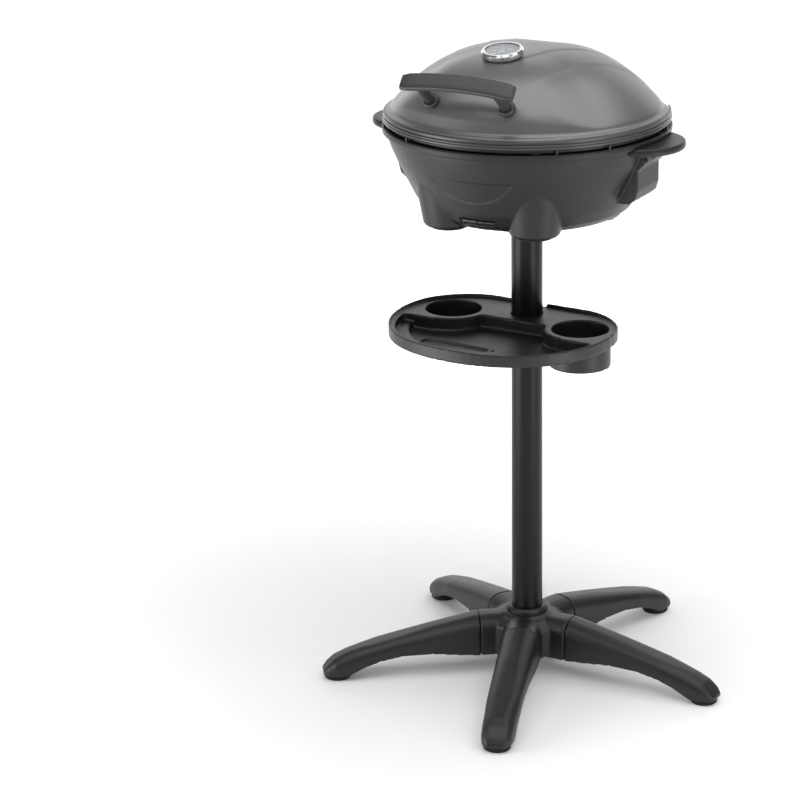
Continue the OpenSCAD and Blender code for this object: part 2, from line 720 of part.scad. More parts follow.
// Shallow drawer under the reflector that catches the fat; its front continues the bowl's wall
module drip_tray() {
    color([0.2, 0.2, 0.2]) {
        difference() {
            intersection() {
                translate([-tray_half_w, -170, tray_z]) cube([2 * tray_half_w, 170 + tray_back, tray_h]);
                bowl_form(0.2, rim_z);
            }
            intersection() {
                translate([2 - tray_half_w, -170, tray_z + 2])
                    cube([2 * tray_half_w - 4, 168 + tray_back, tray_h]);
                bowl_form(4.2, rim_z);
            }
            // groove between the two rows of finger bars
            difference() {
                translate([4 - tray_half_w, -170, tray_z + 7]) cube([2 * tray_half_w - 8, 40, 4]);
                bowl_form(2.2, rim_z);
            }
        }
        for (z = tray_bar_z, s = [-1, 1]) rotate(s * 5) translate([-10.5, -bowl_radius(z) - 1.3, z])
            cube([21, 3, 2.4]);
    }
}

// ---------- lid ----------

// Outline radius of the dome's foot in a direction, pushed out by an offset
function foot_radius(a, out) = min(dome_r + out,
    (sin(a) > 0.01) ? (back_y - lid_inset + out) / sin(a) : 999,
    (sin(a + 45) > 0.01) ? (corner_d - lid_inset + out) / sin(a + 45) : 999,
    (cos(a + 45) < -0.01) ? (corner_d - lid_inset + out) / -cos(a + 45) : 999);

// The dome is full over the handle and flatter to the sides and the back
function ease(t) = let (u = min(1, max(0, t))) u * u * (3 - 2 * u);
function front_fullness(a) = ease((60 - abs(((a + 270) % 360) - 180)) / 35);
function dome_curve(q, full) = full * pow(max(0, 1 - pow(q, 3)), 0.5)
    + (1 - full) * pow(max(0, 1 - pow(q, 3.4)), 1.3);
function dome_z(q, a) = dome_foot_z + dome_h * dome_curve(q, front_fullness(a));

lid_step = 5;
lid_angles = [for (a = [180:-lid_step:-179]) a];
dome_steps = [0.99, 0.97, 0.94, 0.9, 0.85, 0.79, 0.72, 0.64, 0.55, 0.45, 0.34, 0.22, 0.1, 0.02];

function lid_ring(out, z) = [for (a = lid_angles) let (r = foot_radius(a, out)) [r * cos(a), r * sin(a), z]];

function lid_rings(skin) = concat(
    [lid_ring(skirt_out - skin, (skin > 0) ? skirt_z - 5 : skirt_z),
     lid_ring(skirt_out - skin, 887 - skin),
     lid_ring(skirt_out - 1.5 - skin, 889.5 - skin),
     lid_ring(4 - skin, 891 - skin),
     lid_ring(1 - skin, 893 - skin)],
    [for (q = dome_steps) [for (a = lid_angles) let (r = (foot_radius(a, 0) - skin) * q)
        [r * cos(a), r * sin(a), dome_z(q, a) - skin]]]);

module gauge_place() {
    translate([0, -gauge_forward, gauge_z]) rotate([gauge_tilt, 0, 0]) children();
}

module lid_shell() {
    color([0.45, 0.45, 0.46]) difference() {
        loft(lid_rings(0));
        loft(lid_rings(lid_t));
        gauge_place() translate([0, 0, -20]) cylinder(r = 5, h = 40, $fn = 32);
        for (s = [-1, 1]) translate([s * handle_post_x, handle_post_y, dome_z(0.94, -90) - 20])
            cylinder(r = 2.6, h = 60, $fn = 24);
    }
}

module lid_rim_band() {
    low = band_z;
    r = dome_r + skirt_out + 0.1;
    profile = [[0, 0], [3.5, 0], [4.5, 1], [4.5, 3], [3.5, 4], [4.2, 5], [4.2, 6.5], [3, 7.5], [1.8, 8],
        [1.8, 9.5], [3.4, 10], [3.4, 12], [2.4, 13], [0, 13]];
    color([0.5, 0.5, 0.51]) rotate(149) translate([0, 0, low]) rotate_extrude(angle = 242, $fn = 180)
        polygon([for (p = profile) [r + p[0], p[1]]]);
}

function bar_centre(x) = [x, handle_end[0], handle_end[1] + handle_rise * (1 - pow(2 * x / handle_l, 2))];

module lid_handle() {
    face = 13;
    thick = 5.5;
    up = [0, cos(handle_angle), sin(handle_angle)];
    out = [0, -sin(handle_angle), cos(handle_angle)];
    steps = [for (i = [-8:8]) i / 8];
    color([0.3, 0.3, 0.31]) loft([for (t = steps)
        let (c = bar_centre(t * handle_l / 2), k = (abs(t) > 0.99) ? 0.86 : 1)
        [for (a = [340:-20:0]) c + up * face * k * sign(cos(a)) * pow(abs(cos(a)), 0.45)
            + out * thick * k * sign(sin(a)) * pow(abs(sin(a)), 0.6)]]);
}

post_foot = [handle_post_y, dome_z(0.953, -90)];
post_head = [-213.5, 956.5];
post_run = post_head - post_foot;
post_l = norm(post_run);
post_lean = atan2(-post_run[0], post_run[1]);

module post_place(s) {
    translate([s * handle_post_x, post_foot[0], post_foot[1]]) rotate([post_lean, 0, 0]) children();
}

module handle_posts() {
    color([0.25, 0.25, 0.26]) for (s = [-1, 1]) post_place(s) difference() {
        translate([0, 0, 9]) cylinder(r = 7.5, h = post_l - 9, $fn = 48);
        translate([0, 0, 5]) cylinder(r = 2.1, h = 24, $fn = 24);
    }
}

module handle_collars() {
    color([0.2, 0.2, 0.2]) for (s = [-1, 1]) post_place(s) rotate_extrude($fn = 48)
        polygon([[2.8, -1], [9, -1], [12, 1.5], [12, 6], [10.5, 9], [2.8, 9]]);
}

module handle_screws() {
    color("silver") for (s = [-1, 1]) post_place(s) translate([0, 0, -9]) rotate([180, 0, 0])
        screw(2, 34, 5, 3);
}

module hinge_leaves() {
    color("silver") for (s = [-1, 1]) translate([s * hinge_x, 0, 0]) difference() {
        union() {
            translate([-9, back_y - 4.3, 878]) cube([18, 1.8, 16]);
            translate([-8.9, hinge_y, hinge_z]) rotate([0, 90, 0]) cylinder(r = 4.5, h = 17.8, $fn = 48);
            translate([-8.9, back_y - 3, hinge_z - 1]) cube([17.8, 10, 4]);
        }
        translate([-20, hinge_y, hinge_z]) rotate([0, 90, 0]) cylinder(r = pin_r + 0.05, h = 40, $fn = 48);
        for (x = [-5, 5]) translate([x, back_y - 8, 890]) rotate([-90, 0, 0])
            cylinder(r = 1.25, h = 12, $fn = 24);
    }
}

module hinge_screws() {
    color("silver") for (s = [-1, 1], x = [-5, 5]) translate([s * hinge_x + x, back_y - 2.5, 890])
        rotate([-90, 0, 0]) screw(1.2, 1.8, 2.4, 1.2);
}

// ---------- thermometer ----------

module gauge_case() {
    color("silver") gauge_place() difference() {
        cylinder(r = gauge_r - 4, h = 10);
        translate([0, 0, 2]) cylinder(r = gauge_r - 6, h = 20);
        translate([0, 0, -1]) cylinder(r = 3, h = 20, $fn = 32);
    }
}

module gauge_bezel() {
    color("silver") gauge_place() translate([0, 0, 1]) rotate_extrude() polygon([[gauge_r - 4, 0],
        [gauge_r - 1.5, 0], [gauge_r, 2], [gauge_r, 8], [gauge_r - 1.5, 10.5], [gauge_r - 4.5, 10.5],
        [gauge_r - 4.5, 9.3], [gauge_r - 4, 9]]);
}

module gauge_dial() {
    color([0.6, 0.6, 0.6]) gauge_place() translate([0, 0, 6]) difference() {
        cylinder(r = gauge_r - 6.2, h = 0.8);
        translate([0, 0, -1]) cylinder(r = 1.6, h = 4, $fn = 32);
    }
}

module gauge_lens() {
    color([0.8, 0.85, 0.9, 0.4]) gauge_place() translate([0, 0, 8.9]) cylinder(r = gauge_r - 6.2, h = 1.2);
}

module gauge_needle() {
    color([0.8, 0.1, 0.1]) gauge_place() translate([0, 0, 7.2]) {
        difference() {
            cylinder(r = 3, h = 1, $fn = 32);
            translate([0, 0, -1]) cylinder(r = 1.05, h = 3, $fn = 32);
        }
        rotate(240) translate([2.5, -0.6, 0.1]) cube([17, 1.2, 0.6]);
    }
}

module gauge_stem() {
    color("silver") gauge_place() {
        translate([0, 0, -62]) cylinder(r = 2.9, h = 68, $fn = 32);
        translate([0, 0, 6]) cylinder(r = 1, h = 2.6, $fn = 32);
    }
}

module gauge_nut() {
    color("silver") gauge_place() translate([0, 0, -8]) difference() {
        cylinder(r = 9, h = 4.5, $fn = 6);
        translate([0, 0, -1]) cylinder(r = 2.95, h = 8, $fn = 32);
    }
}

// ---------- thermostat plug ----------

module probe_case_half(low, high, floor_low) {
    translate([probe_x, 0, low]) difference() {
        linear_extrude(high - low) rounded_rect(probe_l, probe_w, 9);
        translate([2.5, 0, floor_low ? 2.5 : -1]) linear_extrude(high - low - 1.5)
            rounded_rect(probe_l - 5, probe_w - 5, 7);
    }
}

module probe_lower_case() {
    color([0.1, 0.1, 0.1]) rotate(probe_turn) difference() {
        probe_case_half(probe_bottom_z, probe_split_z, true);
        for (s = [-1, 1]) translate([probe_x - 5, s * terminal_y, element_z]) rotate([0, 90, 0])
            cylinder(r = 3, h = 12, $fn = 32);
        translate([probe_x - 5, 0, element_z]) rotate([0, 90, 0]) cylinder(r = 3.05, h = 12, $fn = 32);
    }
}

module probe_upper_case() {
    color([0.1, 0.1, 0.1]) rotate(probe_turn) difference() {
        probe_case_half(probe_split_z, probe_top_z, false);
        translate([knob_x, 0, probe_top_z - 8]) cylinder(r = 3.55, h = 16, $fn = 48);
        translate([probe_x + 11, 0, probe_top_z - 8]) cylinder(r = 2, h = 16, $fn = 32);
    }
}

module sensor_rod() {
    color("silver") rotate(probe_turn) translate([probe_x - 58, 0, element_z]) rotate([0, 90, 0]) {
        cylinder(r = 3, h = 66, $fn = 32);
        sphere(3, $fn = 32);
    }
}

module temperature_knob() {
    color([0.1, 0.1, 0.1]) rotate(probe_turn) translate([knob_x, 0, probe_top_z + 0.3]) difference() {
        union() {
            cylinder(r1 = knob_r, r2 = knob_r - 1, h = 11);
            translate([0, 0, -6]) cylinder(r = 3.5, h = 7, $fn = 48);
        }
        translate([0, 0, 10]) cylinder(r = knob_r - 3, h = 4);
    }
}

module knob_cap() {
    color([0.6, 0.6, 0.6]) rotate(probe_turn) translate([knob_x, 0, probe_top_z + 10.3])
        cylinder(r = knob_r - 3.05, h = 1.4);
}

module indicator_lamp() {
    color([0.8, 0.1, 0.05]) rotate(probe_turn) translate([probe_x + 11, 0, probe_top_z - 4]) {
        cylinder(r = 1.95, h = 4, $fn = 32);
        translate([0, 0, 4]) cylinder(r1 = 2.6, r2 = 1.6, h = 1.4, $fn = 32);
    }
}

module strain_relief() {
    color([0.1, 0.1, 0.1]) rotate(probe_turn) translate([probe_x + probe_l, 0, element_z]) rotate([0, 90, 0])
        union() {
            cylinder(r1 = 7, r2 = 4.8, h = relief_l);
            for (i = [0:4]) translate([0, 0, 4 + 5 * i]) cylinder(r = 7 - 0.35 * i, h = 2.4);
        }
}

// ---------- cord ----------

// A point on a smooth curve through four neighbouring route points
function spline_point(p, i, t) =
    let (a = p[max(i - 1, 0)], b = p[i], c = p[i + 1], d = p[min(i + 2, len(p) - 1)])
    0.5 * (2 * b + (c - a) * t + (2 * a - 5 * b + 4 * c - d) * t * t + (3 * b - a - 3 * c + d) * t * t * t);
function route(points, parts) = let (p = [for (q = points) polar(q)])
    concat([for (i = [0:len(p) - 2], k = [0:parts - 1]) spline_point(p, i, k / parts)], [p[len(p) - 1]]);
function unit(v) = v / norm(v);
function tube_ring(p, i, r) = let (d = unit(p[min(i + 1, len(p) - 1)] - p[max(i - 1, 0)]),
    s = [sin(coil_direction), -cos(coil_direction), 0], u = unit(s - d * (s * d)), v = cross(u, d))
    [for (k = [0:7]) p[i] + r * (u * cos(45 * k) + v * sin(45 * k))];

module cord_tube(points, parts) {
    p = route(points, parts);
    loft([for (i = [0:len(p) - 1]) tube_ring(p, i, cord_r)]);
}

module power_cord() {
    color([0.07, 0.07, 0.07]) {
        cord_tube(cord_drop, 2);
        cord_tube(cord_lead, 1);
    }
}

module cord_coil() {
    color([0.07, 0.07, 0.07]) translate(polar([coil_at, coil_direction, coil_bottom])) rotate_extrude()
        translate([coil_r - cord_r, 0]) square([2 * cord_r, 2 * cord_r * (coil_turns + 1)]);
}

module cord_tie() {
    color([0.2, 0.2, 0.2]) translate(polar([coil_at, coil_direction, 0]))
        rotate(coil_direction - 90) translate([coil_r, 0, 0]) difference() {
            translate([-cord_r - 1.2, -4, 0]) cube([2 * cord_r + 2.4, 8, 6 * cord_r + 2]);
            translate([-cord_r - 0.2, -5, coil_bottom - 0.1]) cube([2 * cord_r + 0.4, 10, 6 * cord_r + 0.2]);
        }
}

module plug_place() {
    translate([plug_at * cos(coil_direction), plug_at * sin(coil_direction), plug_z])
        rotate(coil_direction) rotate([0, 90, 0]) children();
}

module plug_body() {
    color([0.08, 0.08, 0.08]) plug_place() rotate_extrude() polygon([[0, 0], [4.6, 0], [6, 16], [12, 22],
        [15, 30], [18.6, 36], [18.6, 56], [17.4, 57.5], [0, 57.5]]);
}

module plug_pins() {
    color("silver") plug_place() for (s = [-1, 1]) translate([0, s * 9.5, 57.5]) {
        cylinder(r = 2.4, h = 18, $fn = 32);
        translate([0, 0, 18]) sphere(2.4, $fn = 32);
    }
}

hub();
leg_arm(0);  // leg_arm_1
leg_arm(1);  // leg_arm_2
leg_arm(2);  // leg_arm_3
leg_arm(3);  // leg_arm_4
leg_arm(4);  // leg_arm_5
foot_pads();
leg_screws();
hub_collar();
pole_bolt();
pole_foot_plug();
lower_pole();
pole_joiner();
upper_pole();
pole_top_plug();
shelf();
shelf_collar();
shelf_screws();
cord_clip();
base_bowl();
left_side_handle();
right_side_handle();
side_handle_screws();
rubber_feet();
heat_reflector();
heating_element();
element_terminals();
socket_shroud();
cook_plate();
lid_rest_studs();
hinge_brackets();
hinge_pins();
drip_tray();
lid_shell();
lid_rim_band();
lid_handle();
handle_posts();
handle_collars();
handle_screws();
hinge_leaves();
hinge_screws();
gauge_case();
gauge_bezel();
gauge_dial();
gauge_lens();
gauge_needle();
gauge_stem();
gauge_nut();
probe_lower_case();
probe_upper_case();
sensor_rod();
temperature_knob();
knob_cap();
indicator_lamp();
strain_relief();
power_cord();
cord_coil();
cord_tie();
plug_body();
plug_pins();
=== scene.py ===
# Electric grill on a pedestal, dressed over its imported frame.
# Metres, Z up, front towards -Y, origin on the floor under the pole.
# MM turns the drawing's millimetres into metres.
import math

import bmesh
import bpy
import numpy as np
from mathutils import Matrix, Vector


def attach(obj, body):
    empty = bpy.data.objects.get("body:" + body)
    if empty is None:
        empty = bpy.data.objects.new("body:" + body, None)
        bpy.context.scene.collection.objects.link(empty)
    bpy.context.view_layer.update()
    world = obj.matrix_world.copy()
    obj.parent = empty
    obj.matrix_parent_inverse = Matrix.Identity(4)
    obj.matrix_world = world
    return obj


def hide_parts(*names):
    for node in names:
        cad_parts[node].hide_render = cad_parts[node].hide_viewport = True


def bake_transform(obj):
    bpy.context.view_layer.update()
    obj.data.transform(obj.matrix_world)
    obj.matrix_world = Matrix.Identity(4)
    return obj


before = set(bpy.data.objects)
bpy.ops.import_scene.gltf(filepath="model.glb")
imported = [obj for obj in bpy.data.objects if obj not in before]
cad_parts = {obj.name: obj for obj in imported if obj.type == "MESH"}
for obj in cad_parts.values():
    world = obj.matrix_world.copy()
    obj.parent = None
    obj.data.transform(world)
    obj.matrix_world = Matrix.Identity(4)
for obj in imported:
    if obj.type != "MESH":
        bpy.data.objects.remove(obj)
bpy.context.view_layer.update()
scene = bpy.context.scene
scene.view_settings.view_transform = "Standard"
MM = 0.001

# ---------- camera ----------
# One long lens, standing in front and to the right, a little above the lid.
camera_turn = math.radians(26.5)
camera_distance, camera_height = 3.8762, 1.7762
yaw, pitch, roll = -0.0496, 0.3324, -0.0169
ahead = Vector((math.sin(yaw) * math.cos(pitch), math.cos(yaw) * math.cos(pitch), -math.sin(pitch)))
across = Vector((math.cos(yaw), -math.sin(yaw), 0))
upward = across.cross(ahead)
axes = Matrix((across * math.cos(roll) + upward * math.sin(roll),
               upward * math.cos(roll) - across * math.sin(roll), -ahead)).transposed()
turn = Matrix.Rotation(camera_turn, 4, "Z")
camera = bpy.data.objects.new("camera", bpy.data.cameras.new("camera"))
scene.collection.objects.link(camera)
camera.matrix_world = turn @ Matrix.Translation((0, -camera_distance, camera_height)) @ axes.to_4x4()
camera.data.lens = 121.84
camera.data.sensor_width = 36
camera.data.clip_end = 60
scene.camera = camera


# ---------- materials' shared way of working ----------
# A Signal is a node's output that can be added, multiplied, divided and raised like a number.
# A Board makes the nodes of one tree, and a Look is the board of one material.
class Signal:
    def __init__(self, board, socket):
        self.board, self.socket = board, socket

    def worked(self, operation, a, b=0.0):
        return self.board.node("ShaderNodeMath", {"operation": operation}, {0: a, 1: b})

    def __add__(self, other):
        return self.worked("ADD", self, other)

    def __mul__(self, other):
        return self.worked("MULTIPLY", self, other)

    def __truediv__(self, other):
        return self.worked("DIVIDE", self, other)

    def __pow__(self, other):
        return self.worked("POWER", self, other)


class Board:
    def __init__(self, tree):
        self.tree = tree

    def node(self, kind, settings={}, sockets={}, output=0):
        made = self.tree.nodes.new(kind)
        for key, value in settings.items():
            setattr(made, key, value)
        for key, value in sockets.items():
            if isinstance(value, Signal):
                self.tree.links.new(value.socket, made.inputs[key])
            else:
                made.inputs[key].default_value = value
        return Signal(self, made.outputs[output])


class Look(Board):
    def __init__(self, name, **fixed):
        self.material = bpy.data.materials.new(name)
        self.material.use_nodes = True
        super().__init__(self.material.node_tree)
        self.shader = self.tree.nodes["Principled BSDF"]
        for socket, value in fixed.items():
            self.shader.inputs[socket.replace("_", " ")].default_value = value
        self.place = self.node("ShaderNodeTexCoord", output="Object")

    def noise(self, size, detail=2.0, stretch=None):
        """Soft noise whose features are about size metres across, from 0 to 1."""
        at = self.place
        if stretch:
            at = self.node("ShaderNodeMapping", {}, {"Vector": at, "Scale": stretch})
        return self.node("ShaderNodeTexNoise", {}, {"Vector": at, "Scale": 1 / size, "Detail": detail}, "Fac")

    def blend(self, share, a, b):
        return self.node("ShaderNodeMix", {"data_type": "RGBA"}, {"Factor": share, 6: a, 7: b}, 2)

    def tint(self, size, dark, light, *detail):
        """A base colour that wanders between two tones."""
        return self.feed("Base Color", self.blend(self.noise(size, *detail), dark, light))

    def feed(self, socket, value):
        self.tree.links.new(value.socket, self.shader.inputs[socket])
        return self

    def relief(self, height, strength, distance):
        shape = {"Height": height, "Strength": strength, "Distance": distance}
        return self.feed("Normal", self.node("ShaderNodeBump", {}, shape, "Normal"))

    def put(self, *things):
        for thing in things:
            thing.data.materials.clear()
            thing.data.materials.append(self.material)


def ink(red, green, blue):
    """A colour given as it looks on a screen, 0 to 255, for a shader."""
    shares = [c / 255 for c in (red, green, blue)]
    return (*[c / 12.92 if c <= 0.0404 else ((c + 0.055) / 1.055) ** 2.4 for c in shares], 1.0)


def cad(*names):
    return [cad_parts[name] for name in names]


# ---------- floor and light ----------
# A pale seamless floor and soft lamps: a strip low on each side for the edges of the pole, a broad
# one overhead, a smaller one high in front, and a glow from behind for the top of the lid.
floor_mesh = bpy.data.meshes.new("floor")
floor_mesh.from_pydata([(-40, -40, 0), (40, -40, 0), (40, 40, 0), (-40, 40, 0)], [], [(0, 1, 2, 3)])
floor = bpy.data.objects.new("floor", floor_mesh)
scene.collection.objects.link(floor)
floor_look = Look("pale_floor", Roughness=1.0, Specular_IOR_Level=0.0, Base_Color=(0.87, 0.87, 0.87, 1))
# The floor glows a little where it is seen near the pole and more and more with distance from a point to the
# left of and in front of the pole. Far off this whitens it as a lit backdrop does. Near the pole it is
# painted light: it leaves a painted shadow on the floor to the left and lightens the floor to the right.
ray = floor_look.tree.nodes.new("ShaderNodeLightPath")
by_camera, by_gloss, by_glass = (Signal(floor_look, ray.outputs[f"Is {kind} Ray"])
                                 for kind in ("Camera", "Glossy", "Transmission"))
seen = by_camera + by_gloss + by_glass
# far is the distance from the middle of the painted shadow, to the left of and in front of the pole
far = floor_look.node("ShaderNodeVectorMath", {"operation": "DISTANCE"},
                      {0: floor_look.place, 1: (-0.25, -0.12, 0)}, "Value")
backdrop_and_painted_light = floor_look.node("ShaderNodeMapRange", {"interpolation_type": "SMOOTHSTEP"},
                       {"Value": far, "From Min": 0.15, "From Max": 1.7, "To Min": 0.05, "To Max": 0.85})
backdrop_and_painted_glow = floor_look.node("ShaderNodeEmission", {}, {"Color": (1, 1, 1, 1), "Strength": seen * backdrop_and_painted_light})
lit = Signal(floor_look, floor_look.shader.outputs[0])
both = floor_look.node("ShaderNodeAddShader", {}, {0: lit, 1: backdrop_and_painted_glow})
floor_look.tree.links.new(both.socket, floor_look.tree.nodes["Material Output"].inputs["Surface"])
floor_look.put(floor)

world = bpy.data.worlds.new("studio")
scene.world = world
world.use_nodes = True
sky = world.node_tree.nodes["Background"]
sky.inputs["Color"].default_value = (1, 1, 1, 1)
sky.inputs["Strength"].default_value = 0.22


def lamp(name, at, aim, size, radiance):
    """A soft rectangular lamp, placed as seen from the camera's side: right, away from the camera, up."""
    light = bpy.data.lights.new(name, "AREA")
    light.shape, light.size, light.size_y = "RECTANGLE", size[0], size[1]
    light.energy = radiance * math.pi * size[0] * size[1]
    made = bpy.data.objects.new(name, light)
    scene.collection.objects.link(made)
    made.visible_camera = False
    facing = (Vector(aim) - Vector(at)).to_track_quat("-Z", "Y").to_matrix().to_4x4()
    made.matrix_world = turn @ Matrix.Translation(at) @ facing


lamp("left_strip", (-1.21, -0.49, 0.43), (0, 0, 0.43), (0.8, 0.8), 3.9)
lamp("right_strip", (0.94, -0.9, 0.43), (0, 0, 0.43), (0.55, 0.8), 2.7)
lamp("front_fill", (0.5, -2.3, 2.5), (0, 0, 0.9), (1.5, 0.9), 1.5)
lamp("overhead", (0.15, -0.35, 2.4), (0, 0, 0.9), (3.6, 2.2), 1.8)
lamp("backdrop_glow", (0, 2.4, 1.3), (0, 0, 0.9), (4.5, 2.4), 1.1)


# ---------- mains cord ----------
# A round black flexible lead, moulded into the thermostat's strain relief. It hangs behind the pole,
# is held by a clip, and what is left over lies coiled on the floor behind the hub, with the plug.
# Routes are given as distance from the pole's axis in mm, direction in degrees and height in mm.
cord_r = 3.5 * MM
coil_direction = math.radians(116.5)
drop_route = [(310.3, 135, 853.5), (324, 135, 853.5), (340, 135, 848), (352, 135, 834), (357, 135, 814),
              (354, 135, 790), (343, 135, 766), (325, 135, 745), (301, 135, 727), (272, 134.5, 712),
              (240, 134, 701), (207, 133, 693), (174, 131, 689), (143, 128.5, 690), (115, 125, 693),
              (90, 121.5, 694), (72, 118.5, 689), (59.5, 117, 677), (55, 116.5, 658), (55, 116.5, 620),
              (55, 116.5, 570), (55, 116.5, 520), (55, 116.5, 460), (55, 116.5, 400), (55, 116.5, 340),
              (55, 116.5, 280), (56, 116.5, 230), (59, 116.5, 185), (65, 116.5, 145), (72, 116.5, 112),
              (79, 117, 84), (83, 118, 63), (87, 119.5, 44), (93, 123.5, 30.5), (102, 128, 23),
              (113, 131.5, 19.8), (126, 133, 18.6), (138.3, 132.4, 18.3)]
lead_route = [(138.3, 132.4, 4.3), (150, 130.5, 4.3), (162, 128, 4.3), (174, 124.5, 5), (187, 121, 7.5),
              (201, 118.5, 11.5), (216, 117, 16), (232, 116.5, 19.2)]
coil_centre = 133 * MM * np.array((math.cos(coil_direction), math.sin(coil_direction)))
coil_r, coil_turns, coil_pitch = 38 * MM, 2, 2 * cord_r
coil_low = 4.3 * MM


def from_polar(route):
    """Points in metres from (distance, direction, height)."""
    return [np.array((d * math.cos(math.radians(a)), d * math.sin(math.radians(a)), z)) * MM
            for d, a, z in route]


into_coil = from_polar(drop_route[-1:])[0][:2] - coil_centre
coil_start = math.atan2(into_coil[1], into_coil[0])
wound = [np.array((coil_centre[0] + coil_r * math.cos(coil_start - t),
                   coil_centre[1] + coil_r * math.sin(coil_start - t),
                   coil_low + coil_pitch * (coil_turns - t / (2 * math.pi))))
         for t in np.linspace(0, coil_turns * 2 * math.pi, coil_turns * 24 + 1)]


def smooth_line(points, parts):
    """A smooth curve through points, with this many parts between each two."""
    p = [points[0], *points, points[-1]]
    line = []
    for a, b, c, d in zip(p, p[1:], p[2:], p[3:]):
        for t in np.arange(parts) / parts:
            line.append(0.5 * (2 * b + (c - a) * t + (2 * a - 5 * b + 4 * c - d) * t * t
                               + (3 * b - a - 3 * c + d) * t ** 3))
    return line + [points[-1]]


def tube(name, line, radius, sides=12):
    """A closed round tube along a line."""
    line = np.array(line)
    along = np.gradient(line, axis=0)
    along /= np.linalg.norm(along, axis=1)[:, None]
    side = np.cross(along[0], (0.3, 0.2, 1))
    mesh, rings = bmesh.new(), []
    for point, way in zip(line, along):
        side = side - way * side.dot(way)
        side /= np.linalg.norm(side)
        other = np.cross(way, side)
        rings.append([mesh.verts.new(point + radius * (math.cos(a) * side + math.sin(a) * other))
                      for a in np.linspace(0, 2 * math.pi, sides, endpoint=False)])
    for a, b in zip(rings, rings[1:]):
        for i in range(sides):
            mesh.faces.new((a[i], a[(i + 1) % sides], b[(i + 1) % sides], b[i])).smooth = True
    mesh.faces.new(rings[0][::-1])
    mesh.faces.new(rings[-1])
    return finished(name, mesh)


def finished(name, mesh):
    data = bpy.data.meshes.new(name)
    mesh.to_mesh(data)
    mesh.free()
    made = bpy.data.objects.new(name, data)
    scene.collection.objects.link(made)
    return made


lead_line = smooth_line(from_polar(drop_route)[:-1] + wound + from_polar(lead_route)[1:], 4)
cord = tube("mains_cord", lead_line, cord_r)
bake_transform(cord)
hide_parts("power_cord", "cord_coil")
lead_length = float(sum(np.linalg.norm(b - a) for a, b in zip(lead_line, lead_line[1:])))
cord_look = Look("black_cord_sheath", Roughness=0.42)
cord_look.tint(0.03, ink(26, 26, 27), ink(40, 40, 41))
cord_look.relief(cord_look.noise(0.0012), 0.15, 0.0004)
cord_look.put(cord, *cad("cord_tie"))


# ---------- plug ----------
# A round mains plug moulded onto the lead's end, with two plated pins.
# The same black compound makes the strain relief at the thermostat.
plug_look = Look("moulded_plug", Roughness=0.45)
plug_look.tint(0.02, ink(30, 30, 31), ink(42, 42, 43))
plug_look.relief(plug_look.noise(0.0009), 0.2, 0.0003)
plug_look.put(*cad("plug_body", "strain_relief"))


def metal(name, colour, rough):
    """Bare or plated metal with fine wiped marks and a little uneven shine."""
    look = Look(name, Metallic=1.0)
    marks = look.noise(0.0006, 3)
    look.tint(0.02, colour, (*[0.86 * c for c in colour[:3]], 1))
    look.feed("Roughness", marks * 0.16 + rough)
    look.relief(marks, 0.06, 0.0002)
    return look


metal("nickel_pins", ink(205, 202, 195), 0.2).put(*cad("plug_pins"))


# ---------- star base ----------
# Five hollow moulded arms screwed to a moulded hub. Each arm is a long arch with a rounded back that
# widens towards its foot and stands on a round rubber pad.
arm_count = 5


def plastic(name, dark, light, rough, grain=0.0011, depth=0.35, **fixed):
    """Moulded plastic with the fine spark-eroded grain of its tool and slightly uneven colour."""
    look = Look(name, **fixed)
    look.tint(0.05, dark, light, 3)
    texture = look.noise(grain, 2)
    look.feed("Roughness", look.noise(0.035, 2) * 0.08 + texture * 0.1 + (rough - 0.09))
    look.relief(texture, depth, 0.0003)
    return look


def softened(name, nodes, grain, passes, faces=None):
    """A mesh from CAD solids, with its edges rounded as a mould rounds them."""
    mesh = bmesh.new()
    for node in nodes:
        mesh.from_mesh(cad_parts[node].data)
    bmesh.ops.remove_doubles(mesh, verts=mesh.verts, dist=1e-5)
    piece = finished(name, mesh)
    cells = piece.modifiers.new("cells", "REMESH")
    cells.mode, cells.voxel_size = "VOXEL", grain
    soften = piece.modifiers.new("soften", "SMOOTH")
    soften.factor, soften.iterations = 0.5, passes
    if faces:
        thin = piece.modifiers.new("thin", "DECIMATE")
        thin.ratio = faces
    evaluated = piece.evaluated_get(bpy.context.evaluated_depsgraph_get())
    data = bpy.data.meshes.new_from_object(evaluated)
    piece.modifiers.clear()
    piece.data = data
    data.shade_smooth()
    return piece


def dress(piece, body, slot, *nodes):
    """Puts a finished piece on its body, in place of its solids."""
    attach(piece, body)
    if nodes:
        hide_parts(*nodes)
    return piece


def moulded(name, body, slot, nodes, grain, passes, faces=None):
    return dress(softened(name, nodes, grain, passes, faces), body, slot, *nodes)


class Growth(Board):
    """A Geometry Nodes tree with named inputs, whose result becomes a plain mesh."""
    def __init__(self, name, **inputs):
        group = bpy.data.node_groups.new(name, "GeometryNodeTree")
        group.interface.new_socket("Result", in_out="OUTPUT", socket_type="NodeSocketGeometry")
        super().__init__(group)
        self.sockets = {}
        for key, kind in inputs.items():
            made = group.interface.new_socket(key, in_out="INPUT", socket_type=f"NodeSocket{kind}")
            self.sockets[key] = made.identifier
        self.given = group.nodes.new("NodeGroupInput")

    def ask(self, key):
        return Signal(self, self.given.outputs[key])

    def finish(self, grown):
        grown = self.node("GeometryNodeRealizeInstances", {}, {"Geometry": grown})
        grown = self.node("GeometryNodeSetMaterial", {}, {"Geometry": grown, "Material": self.ask("Finish")})
        end = self.tree.nodes.new("NodeGroupOutput")
        self.tree.links.new(grown.socket, end.inputs["Result"])
        return self

    def grow(self, name, place=Matrix.Identity(4), **values):
        carrier = finished(name, bmesh.new())
        modifier = carrier.modifiers.new("growth", "NODES")
        modifier.node_group = self.tree
        for key, value in values.items():
            modifier[self.sockets[key]] = value
        data = bpy.data.meshes.new_from_object(carrier.evaluated_get(bpy.context.evaluated_depsgraph_get()))
        carrier.modifiers.clear()
        data.transform(place)
        carrier.data = data
        return carrier


